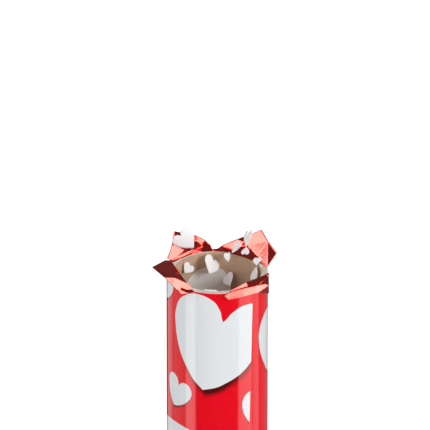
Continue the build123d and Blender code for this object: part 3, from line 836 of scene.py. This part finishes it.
def heart_outline(steps):
    """Outline of a paper heart, one unit wide, with its middle near the origin."""
    turns = np.linspace(0.0, math.tau, steps, endpoint=False)
    across = 16 * np.sin(turns) ** 3
    up = 13 * np.cos(turns) - 5 * np.cos(2 * turns) - 2 * np.cos(3 * turns) - np.cos(4 * turns)
    plump = np.column_stack([np.sin(turns), np.cos(turns)]) * 0.5
    share = (0.24 - 0.14 * np.cos(turns))[:, None]
    return (1.0 - share) * np.column_stack([across / 32, (up + 2.5) / 32]) + share * plump


def heart_sheet(width, steps=44, rings=5):
    """Flat paper heart in rings from its middle to its edge: corners in millimetres and faces."""
    edge = heart_outline(steps) * width
    corners = [(0.0, 0.0)] + [tuple(point * ring / rings) for ring in range(1, rings + 1) for point in edge]
    faces = [(0, 1 + step, 1 + (step + 1) % steps) for step in range(steps)]
    for ring in range(rings - 1):
        for step in range(steps):
            first, second = 1 + ring * steps + step, 1 + ring * steps + (step + 1) % steps
            faces.append((first, first + steps, second + steps, second))
    return np.array(corners), [face[::-1] for face in faces]


def curled(flat, curl_across, curl_up):
    """Height of a paper heart that curls about both its axes, by its bends in one over millimetres."""
    return 0.5 * (curl_across * flat[:, 0] ** 2 + curl_up * flat[:, 1] ** 2)


# Hearts that cling in the mouth and on the petals: middle (x, y, rise), turns about x, y and z, width, curl
WALL_HEARTS = [
    ((-14.5, 13.2, -5.0), (54, 42, -3), 5.9, 0.03),
    ((-2.6, 16.8, -5.0), (48, 46, 22), 10.6, -0.02),
    ((5.2, 17.9, -0.9), (74, 9, 50), 5.2, -0.04),
    ((5.4, 17.9, -13.6), (49, -46, -21), 7.7, -0.02),
    ((18.5, 6.8, -4.8), (-65, 22, 114), 8.5, 0.02),
]
FILM_HEARTS = [
    ((19.7, 9.7, 0.9), (37, -24, -26), 5.1, 0.02),
    ((9.6, 18.9, 3.9), (48, -6, -73), 7.7, 0.07),
    ((14.0, 17.3, 2.7), (-47, 10, 150), 4.6, 0.04),
    ((15.1, 18.7, 8.9), (63, -30, -63), 9.6, 0.02),
    ((-15.7, 16.4, 9.0), (82, -45, 2), 12.1, -0.06),
]


def caught_heart(middle, turns, width, curl):
    """Corners and faces of a curled paper heart, turned and put in its place."""
    flat, faces = heart_sheet(width)
    turn = np.array(Euler([math.radians(angle) for angle in turns]).to_matrix())
    return np.column_stack([flat, curled(flat, curl, 0.4 * curl)]) @ turn.T + np.array(middle), faces


class POPPER_OT_clinging_hearts(bpy.types.Operator):
    """Lays the paper hearts that cling to the wall of the mouth and to the petals"""

    bl_idname = "popper.clinging_hearts"
    bl_label = "Clinging hearts"

    def execute(self, context):
        settings = context.scene.popper_confetti
        paper = plain_paper("confetti_paper", settings.white, 0.03, 0.7)
        wall_hearts = [caught_heart(*heart) for heart in WALL_HEARTS]
        film_hearts = [caught_heart(*heart) for heart in FILM_HEARTS]
        self.lay("wall_confetti", wall_hearts, paper, settings, "wall_hearts")
        self.lay("film_confetti", film_hearts, paper, settings, "foil_hearts")
        return {"FINISHED"}

    def lay(self, name, hearts, paper, settings, node):
        """One object of all the hearts on one part of the mouth, with the thickness of paper."""
        corners, faces = [], []
        for points, heart_faces in hearts:
            faces += [tuple(index + len(corners) for index in face) for face in heart_faces]
            corners += list(points + (0.0, 0.0, RIM_HEIGHT))
        piece = new_piece(name, corners, faces, [paper])
        thicken(piece, settings.thickness, 0.0)
        piece.visible_glossy = False
        settle(piece, "barrel", "confetti_paper", node)


# Liner sheet: angles of its two edges, and of its peak, where the rounded corner meets the slanting top.
# Depths below the rim are of the corner's top and of the slanting top, at the peak
LINER_EDGE = 71.0
LINER_FAR_EDGE = 301.0
LINER_PEAK = 98.0
LINER_SLANT = 54.0
LINER_CORNER_RADIUS = 11.0
LINER_CORNER_DEPTH = 8.3
LINER_SLANT_DEPTH = 8.0
LINER_THICKNESS = 0.2
# The edge near the corner curls off the wall over the uppermost share of the sheet
LINER_CURL = 0.9
LINER_CURL_START = 83.0
LINER_CURL_SHARE = 0.15


class POPPER_OT_paper_liner(bpy.types.Operator):
    """Rolls the grey-white paper sheet inside the barrel, its corner rounded"""

    bl_idname = "popper.paper_liner"
    bl_label = "Paper liner"

    def execute(self, context):
        rows, columns = 60, 161
        bottom = height_span("confetti_liner")[0]
        outside = BORE_RADIUS - 0.1
        degrees = np.linspace(LINER_EDGE, LINER_FAR_EDGE, columns)
        slope = math.tan(math.radians(LINER_SLANT))
        slant = LINER_SLANT_DEPTH + slope * outside * (1 - np.cos(np.radians(degrees - LINER_PEAK)))
        past_peak = np.maximum(0.0, (LINER_PEAK - degrees) * outside * math.radians(1.0))
        fall = np.sqrt(np.maximum(0.0, LINER_CORNER_RADIUS**2 - past_peak**2))
        corner = LINER_CORNER_DEPTH + LINER_CORNER_RADIUS - fall
        depth = np.where(degrees < LINER_PEAK, corner, slant)
        share = np.linspace(0.0, 1.0, rows)[:, None]
        heights = bottom + (RIM_HEIGHT - depth[None, :] - bottom) * share
        angle = np.radians(degrees)[None, :] + 0.0 * share
        near_edge = smooth_step((LINER_CURL_START - degrees) / (LINER_CURL_START - LINER_EDGE))[None, :]
        near_top = smooth_step((share - 1.0 + LINER_CURL_SHARE) / LINER_CURL_SHARE)
        radius = outside - LINER_CURL * near_edge * near_top
        outer, other = sheet_faces(rows, columns)
        corners = sheet_corners(radius - LINER_THICKNESS, radius, angle, heights)
        paper = plain_paper("liner_paper", (0.92, 0.91, 0.89), 0.05, 0.6)
        liner = new_piece("liner_sheet", corners, outer + other, [paper])
        liner.data.set_sharp_from_angle(angle=math.radians(SHARP_PAPER))
        settle(liner, "barrel", "liner_paper", "confetti_liner")
        return {"FINISHED"}


class Scatter:
    """Geometry node tree that repeats something on a piece. Each input has a name, a kind and a value."""

    def __init__(self, name, inputs):
        self.inputs = inputs
        tree = bpy.data.node_groups.new(name, "GeometryNodeTree")
        kinds = {socket: kind for socket, (kind, _) in inputs.items()}
        self.identifiers = add_sockets(tree, "INPUT", Geometry="Geometry", **kinds)
        add_sockets(tree, "OUTPUT", Geometry="Geometry")
        self.graph = Graph(tree)
        self.given = self.graph.add("NodeGroupInput").outputs

    def step(self, kind, **inputs):
        """First output of a geometry node. Its inputs have their own names, with underscores for spaces."""
        named = {name.replace("_", " "): value for name, value in inputs.items()}
        return self.graph.add(f"GeometryNode{kind}", named).outputs[0]

    def random(self, kind, low, high, seed):
        """Random number or vector for each point."""
        low_socket, high_socket, result = {"FLOAT": (2, 3, 1), "FLOAT_VECTOR": (0, 1, 0)}[kind]
        inputs = {low_socket: low, high_socket: high, "Seed": seed}
        return self.graph.add("FunctionNodeRandomValue", inputs, data_type=kind).outputs[result]

    def run(self, piece, instances):
        """Turns the instances into plain mesh with their material, and keeps them as the piece's mesh."""
        real = self.step("RealizeInstances", Geometry=instances)
        done = self.step("SetMaterial", Geometry=real, Material=self.given["Material"])
        self.graph.add("NodeGroupOutput", {"Geometry": done})
        modifier = piece.modifiers.new(self.graph.tree.name, "NODES")
        modifier.node_group = self.graph.tree
        for name, (_, value) in self.inputs.items():
            modifier[self.identifiers[name]] = value
        bake_modifiers(piece)


# Loose hearts: their width, their bend in one over millimetres, how far they spread from the axis, the gap
# under the lowest, and the rise and the turn round the axis from one to the next
LOOSE_WIDTH = 6.5
LOOSE_CURL = 0.004
LOOSE_SPREAD = 12.5
LOOSE_GAP = 0.15
LOOSE_PITCH = 0.17
GOLDEN_ANGLE = 137.5


class POPPER_OT_loose_load(bpy.types.Operator):
    """Scatters the hearts that were left lying on the wad"""

    bl_idname = "popper.loose_load"
    bl_label = "Loose load"

    def execute(self, context):
        settings = context.scene.popper_confetti
        floor = height_span("wad_disc")[1]
        paper = plain_paper("loose_confetti_paper", settings.white, 0.03, 0.7)
        flat, faces = heart_sheet(LOOSE_WIDTH, steps=28, rings=2)
        corners = np.column_stack([flat, curled(flat, LOOSE_CURL, 0.0)])
        one = new_piece("one_heart", corners, faces, [paper])
        thicken(one, settings.thickness, -1.0)
        inputs = {
            "Heart": ("Object", one),
            "Count": ("Int", settings.loose),
            "Spread": ("Float", LOOSE_SPREAD * MM),
            "Floor": ("Float", (floor + LOOSE_GAP) * MM),
            "Pitch": ("Float", LOOSE_PITCH * MM),
            "Seed": ("Int", settings.seed),
            "Material": ("Material", paper),
        }
        scatter = Scatter("Scattered hearts", inputs)
        graph, given = scatter.graph, scatter.given
        points = scatter.step("Points", Count=given["Count"])
        index = scatter.step("InputIndex")
        turn = graph.times(index, math.radians(GOLDEN_ANGLE))
        share = graph.math("DIVIDE", graph.plus(index, 0.5), given["Count"])
        away = graph.times(graph.math("SQRT", share), given["Spread"])
        x = graph.times(away, graph.math("COSINE", turn))
        y = graph.times(away, graph.math("SINE", turn))
        z = graph.math("MULTIPLY_ADD", index, given["Pitch"], given["Floor"])
        placed = scatter.step("SetPosition", Geometry=points, Position=graph.join(x, y, z))
        heart = graph.add("GeometryNodeObjectInfo", {"Object": given["Heart"]}).outputs["Geometry"]
        spin = graph.join(0.0, 0.0, scatter.random("FLOAT", 0.0, math.tau, given["Seed"]))
        load = new_piece("loose_confetti", [(0, 0, floor)], [], [])
        scatter.run(load, scatter.step("InstanceOnPoints", Points=placed, Instance=heart, Rotation=spin))
        bpy.data.objects.remove(one)
        settle(load, "wad", "confetti_paper", "confetti_load")
        return {"FINISHED"}


# Stretches of the rim that the film left bare, in degrees, and the torn fibres on them
BARE_STRETCHES = ((246, 282), (350, 371))
FIBRE_ROWS = 4
FIBRE_STEPS = 10
FIBRES_PER_ROW = 34
# White ply at the front of the rim: the angle where it starts, how far it goes round, the radius where it is
# rooted, how far it reaches inwards and curls up, and the share of its length over which each end tapers
FLAKE_START = 251.5
FLAKE_TURN = 20.5
FLAKE_ROOT = 23.4
FLAKE_DEPTH = 1.5
FLAKE_LIFT = 0.5
FLAKE_TAPER = 0.12
FLAKE_THICKNESS = 0.08


class POPPER_OT_torn_rim(bpy.types.Operator):
    """Frays the bare stretches of the rim, where the film took fibres with it"""

    bl_idname = "popper.torn_rim"
    bl_label = "Torn rim"

    def execute(self, context):
        self.fray()
        self.flake()
        return {"FINISHED"}

    def fray(self):
        """Torn fibres along the bare stretches."""
        corners, edges = [], []
        for low, high in BARE_STRETCHES:
            for radius in np.linspace(BORE_RADIUS + 0.3, OUTER_RADIUS - 0.6, FIBRE_ROWS):
                for angle in np.linspace(low, high, FIBRE_STEPS):
                    corners.append(on_circle(radius, angle, RIM_HEIGHT + 0.02))
                    if angle > low:
                        edges.append((len(corners) - 2, len(corners) - 1))
        inputs = {
            "Count": ("Int", FIBRES_PER_ROW),
            "Length": ("Float", 1.1 * MM),
            "Thickness": ("Float", 0.06 * MM),
            "Seed": ("Int", 3),
            "Material": ("Material", plain_paper("torn_fibre", (0.72, 0.62, 0.52), 0.12, 0.9)),
        }
        scatter = Scatter("Torn fibres", inputs)
        graph, given = scatter.graph, scatter.given
        curve = scatter.step("MeshToCurve", Mesh=given["Geometry"])
        rows = {"Curve": curve, "Count": given["Count"]}
        points = graph.add("GeometryNodeCurveToPoints", rows, mode="COUNT").outputs[0]
        half = graph.times(given["Length"], 0.5)
        start = graph.join(graph.times(half, -1.0), 0.0, 0.0)
        middle = graph.join(0.0, graph.times(half, 0.3), given["Length"])
        end = graph.join(half, 0.0, graph.times(half, 0.3))
        line = scatter.step("CurveQuadraticBezier", Resolution=5, Start=start, Middle=middle, End=end)
        profile = scatter.step("CurvePrimitiveCircle", Resolution=4, Radius=given["Thickness"])
        fibre = scatter.step("CurveToMesh", Curve=line, Profile_Curve=profile, Fill_Caps=True)
        turn = scatter.random("FLOAT_VECTOR", (-0.5, -0.5, 0.0), (0.5, 0.5, math.tau), given["Seed"])
        size = scatter.random("FLOAT", 0.35, 1.0, graph.plus(given["Seed"], 1.0))
        least, most = (-0.5 * MM, -0.5 * MM, 0.0), (0.5 * MM, 0.5 * MM, 0.1 * MM)
        jitter = scatter.random("FLOAT_VECTOR", least, most, given["Seed"])
        strewn = scatter.step("SetPosition", Geometry=points, Offset=jitter)
        fibres = new_piece("rim_fibres", corners, [], [], edges=edges)
        place = {"Points": strewn, "Instance": fibre, "Rotation": turn, "Scale": size}
        scatter.run(fibres, scatter.step("InstanceOnPoints", **place))
        settle(fibres, "barrel", "kraft_board")

    def flake(self):
        """White ply that the film lifted off the front of the rim, curling into the mouth."""
        columns, rows = 41, 7
        corners = []
        for step in np.linspace(0.0, 1.0, rows):
            for along in np.linspace(0.0, 1.0, columns):
                coarse = noise.noise(Vector((along * 9.0, 0.0, 4.0)))
                fine = noise.noise(Vector((along * 27.0, 2.0, 0.0)))
                ragged = coarse + 0.5 * fine
                taper = smooth_step(along / FLAKE_TAPER) * smooth_step((1 - along) / FLAKE_TAPER)
                depth = (FLAKE_DEPTH + 0.6 * ragged) * taper + 0.1
                radius = FLAKE_ROOT + 0.25 * ragged - depth * step
                lift = 0.06 + FLAKE_LIFT * step**2 * (1 + 0.4 * ragged) * taper
                corners.append(on_circle(radius, FLAKE_START + FLAKE_TURN * along, RIM_HEIGHT + lift))
        white = plain_paper("torn_white_ply", (0.84, 0.83, 0.82), 0.06, 0.85)
        piece = new_piece("rim_flake", corners, grid_faces(rows, columns), [white])
        thicken(piece, FLAKE_THICKNESS * MM, 1.0)
        settle(piece, "barrel", "confetti_paper")


class POPPER_OT_valve_and_bottle(bpy.types.Operator):
    """Finishes the air bottle, its bung, the release valve and the base cap"""

    bl_idname = "popper.valve_and_bottle"
    bl_label = "Valve and bottle"

    def execute(self, context):
        dress_nodes(drawn_aluminium("drawn_aluminium"), "gas_bottle")
        dress_nodes(black_rubber("black_rubber"), "charge_bung", "plug_o_ring")
        valve = moulded_plastic("valve_plastic", (0.78, 0.77, 0.73), 0.42)
        dress_nodes(valve, "bayonet_collar", "trigger_spider")
        dress_nodes(moulded_plastic("plug_plastic", (0.62, 0.06, 0.05), 0.40), "release_plug")
        dress_nodes(moulded_plastic("cap_plastic", (0.60, 0.008, 0.02), 0.36), "base_cap")
        return {"FINISHED"}


SOFTBOX_LIMITS = ("Left", "Right", "Low", "High", "Softness", "Strength")


def softbox_group():
    """Node group that is a strength inside a soft-edged window of directions and 0 outside it."""
    tree = bpy.data.node_groups.new("Softbox window", "ShaderNodeTree")
    add_sockets(tree, "INPUT", **dict.fromkeys(("Bearing", "Elevation", *SOFTBOX_LIMITS), "Float"))
    add_sockets(tree, "OUTPUT", Light="Float")
    graph = Graph(tree)
    given = graph.add("NodeGroupInput").outputs

    def inside(value, low, high):
        upper = graph.plus(low, given["Softness"])
        lower = graph.minus(high, given["Softness"])
        return graph.times(graph.ramp(value, low, upper), graph.ramp(value, high, lower))

    across = inside(given["Bearing"], given["Left"], given["Right"])
    upright = inside(given["Elevation"], given["Low"], given["High"])
    window = graph.times(across, upright)
    graph.add("NodeGroupOutput", {"Light": graph.times(window, given["Strength"])})
    return tree


# Softboxes that the gloss shows, as seen from the mouth: left and right bearing from the front, low and high
# elevation, softness, and strength
SOFTBOXES = [
    (43.0, 84.0, -80.0, -21.0, 2.5, 2.6),
    (84.0, 107.0, -80.0, -21.0, 2.5, 1.5),
    (107.0, 158.0, -80.0, -21.0, 3.0, 0.25),
    (50.0, 108.0, -22.0, 37.0, 2.5, 7.0),
    (-75.0, -48.0, -80.0, -21.0, 2.0, 3.2),
    (-115.0, -75.0, -80.0, -21.0, 3.0, 0.7),
    (-118.0, -43.0, -6.0, 29.0, 2.5, 7.0),
    (92.0, 168.0, 60.0, 84.0, 2.5, 7.0),
    (-150.0, -115.0, -80.0, -21.0, 4.0, 0.8),
]
# Tent that carries the softboxes: its radius in metres and the tint of its light
TENT_RADIUS = 0.36
TENT_LIGHT = (1.0, 0.96, 0.93)
# Floor: half its width in millimetres, its grey, and the glow that lifts it where it is seen
FLOOR_REACH = 20000.0
FLOOR_GREY = (0.80, 0.80, 0.80)
FLOOR_GLOW = 0.62
# Lamps in metres: size and place. They point at a place just under the mouth
KEY_LAMP = (0.6, (1.10, -0.87, 0.92))
FILL_LAMP = (0.9, (-1.2, -1.0, 0.8))
LAMP_AIM = (0.0, 0.0, RIM_HEIGHT * MM * 0.9)
# Camera: what it points at in metres, its sensor and lens in millimetres, and how far it sees in metres
CAMERA_AIM = (-0.00108, 0.01216, 0.30493)
CAMERA_SENSOR = 36.0
CAMERA_LENS = 850.0
CAMERA_SIGHT = 100.0


class POPPER_OT_stage(bpy.types.Operator):
    """Sets the floor, the lamps, what the gloss reflects, and the camera"""

    bl_idname = "popper.stage"
    bl_label = "Stage"

    def execute(self, context):
        settings = context.scene.popper_stage
        context.scene.view_settings.view_transform = "Standard"
        self.world(context, settings)
        self.floor()
        self.reflections()
        self.lamp("key", settings.key, *KEY_LAMP)
        self.lamp("fill", settings.fill, *FILL_LAMP)
        self.camera(context, settings)
        return {"FINISHED"}

    def seen_rays(self, graph):
        """1 for rays that show the background: from the camera, from gloss and through glass."""
        path = graph.add("ShaderNodeLightPath").outputs
        seen = graph.math("MAXIMUM", path["Is Camera Ray"], path["Is Glossy Ray"])
        return graph.math("MAXIMUM", seen, path["Is Transmission Ray"])

    def world(self, context, settings):
        world = bpy.data.worlds.new("studio")
        context.scene.world = world
        world.use_nodes = True
        graph = Graph(world.node_tree)
        strength = graph.ramp(self.seen_rays(graph), 0.0, 1.0, settings.sky, 1.0)
        graph.feed(world.node_tree.nodes["Background"], {"Color": (1.0, 1.0, 1.0, 1.0), "Strength": strength})

    def floor(self):
        low, high = -FLOOR_REACH, FLOOR_REACH
        corners = [(low, low, 0.0), (high, low, 0.0), (high, high, 0.0), (low, high, 0.0)]
        material, graph, shader = new_material("pale_floor")
        graph.feed(shader, {"Base Color": rgba(FLOOR_GREY), "Roughness": 0.9, "Specular IOR Level": 0.0})
        glow = graph.add("ShaderNodeEmission", {"Strength": graph.times(self.seen_rays(graph), FLOOR_GLOW)})
        both = graph.add("ShaderNodeAddShader", {0: shader.outputs[0], 1: glow.outputs[0]})
        graph.feed(graph.tree.nodes["Material Output"], {"Surface": both.outputs[0]})
        new_piece("floor", corners, [(0, 1, 2, 3)], [material], smooth=False)

    def reflections(self):
        """Dark tent with softboxes, seen only by gloss."""
        middle = (0.0, 0.0, RIM_HEIGHT * MM)
        material, graph, shader = new_material("studio_tent")
        place = graph.add("ShaderNodeTexCoord").outputs["Object"]
        x, y, z = graph.split(graph.vector("NORMALIZE", graph.vector("SUBTRACT", place, middle)))
        degrees = math.degrees(1.0)
        bearing = graph.times(graph.math("ARCTAN2", x, graph.times(y, -1.0)), degrees)
        elevation = graph.times(graph.math("ARCSINE", z), degrees)
        light = graph.ramp(elevation, -22.0, -17.0, 0.03, 0.16)
        window = softbox_group()
        for limits in SOFTBOXES:
            inputs = dict(zip(SOFTBOX_LIMITS, limits), Bearing=bearing, Elevation=elevation)
            light = graph.plus(light, graph.add("ShaderNodeGroup", inputs, node_tree=window).outputs[0])
        glow = graph.add("ShaderNodeEmission", {"Color": rgba(TENT_LIGHT), "Strength": light})
        graph.feed(graph.tree.nodes["Material Output"], {"Surface": glow.outputs[0]})
        graph.tree.nodes.remove(shader)
        mesh = bmesh.new()
        bmesh.ops.create_uvsphere(mesh, u_segments=96, v_segments=48, radius=TENT_RADIUS)
        bmesh.ops.translate(mesh, verts=mesh.verts, vec=middle)
        tent = piece_of("studio_tent", mesh, material)
        for ray in ("camera", "diffuse", "transmission", "volume_scatter", "shadow"):
            setattr(tent, f"visible_{ray}", False)

    def lamp(self, name, power, size, place):
        light = bpy.data.lights.new(name, "AREA")
        light.energy = power
        light.size = size
        lamp = place_object(name, light)
        lamp.location = place
        aim = Vector(LAMP_AIM) - lamp.location
        lamp.rotation_euler = aim.to_track_quat("-Z", "Y").to_euler()
        lamp.visible_camera = False
        lamp.visible_glossy = False

    def camera(self, context, settings):
        data = bpy.data.cameras.new("camera")
        data.sensor_width = CAMERA_SENSOR
        data.lens = CAMERA_LENS
        data.clip_end = CAMERA_SIGHT
        camera = place_object("camera", data)
        back = Vector((0.0, -math.cos(settings.elevation), math.sin(settings.elevation)))
        camera.location = Vector(CAMERA_AIM) + back * settings.distance
        camera.rotation_euler = (-back).to_track_quat("-Z", "Y").to_euler()
        context.scene.camera = camera


class POPPER_PT_panel(bpy.types.Panel):
    """Sidebar list of the popper's pieces and settings"""

    bl_idname = "POPPER_PT_panel"
    bl_label = "Confetti popper"
    bl_space_type = "VIEW_3D"
    bl_region_type = "UI"
    bl_category = "Popper"

    def draw(self, context):
        for operator in OPERATORS:
            self.layout.operator(operator.bl_idname)
        for name in SETTINGS:
            box = self.layout.box()
            group = getattr(context.scene, name)
            for prop in group.bl_rna.properties:
                if prop.identifier not in ("rna_type", "name"):
                    box.prop(group, prop.identifier)


SETTINGS = {
    "popper_print": PrintSettings,
    "popper_film": FilmSettings,
    "popper_confetti": ConfettiSettings,
    "popper_stage": StageSettings,
}
OPERATORS = (
    POPPER_OT_printed_papers,
    POPPER_OT_card_tubes,
    POPPER_OT_paper_liner,
    POPPER_OT_torn_film,
    POPPER_OT_torn_rim,
    POPPER_OT_clinging_hearts,
    POPPER_OT_loose_load,
    POPPER_OT_valve_and_bottle,
    POPPER_OT_stage,
)


def register():
    for name, group in SETTINGS.items():
        bpy.utils.register_class(group)
        setattr(bpy.types.Scene, name, bpy.props.PointerProperty(type=group))
    for operator in OPERATORS:
        bpy.utils.register_class(operator)
    bpy.utils.register_class(POPPER_PT_panel)


def unregister():
    bpy.utils.unregister_class(POPPER_PT_panel)
    for operator in reversed(OPERATORS):
        bpy.utils.unregister_class(operator)
    for name, group in SETTINGS.items():
        delattr(bpy.types.Scene, name)
        bpy.utils.unregister_class(group)


def main():
    register()
    bpy.ops.popper.printed_papers()
    bpy.ops.popper.card_tubes()
    bpy.ops.popper.paper_liner()
    bpy.ops.popper.torn_film()
    bpy.ops.popper.torn_rim()
    bpy.ops.popper.clinging_hearts()
    bpy.ops.popper.loose_load()
    bpy.ops.popper.valve_and_bottle()
    bpy.ops.popper.stage()


if __name__ == "__main__":
    main()
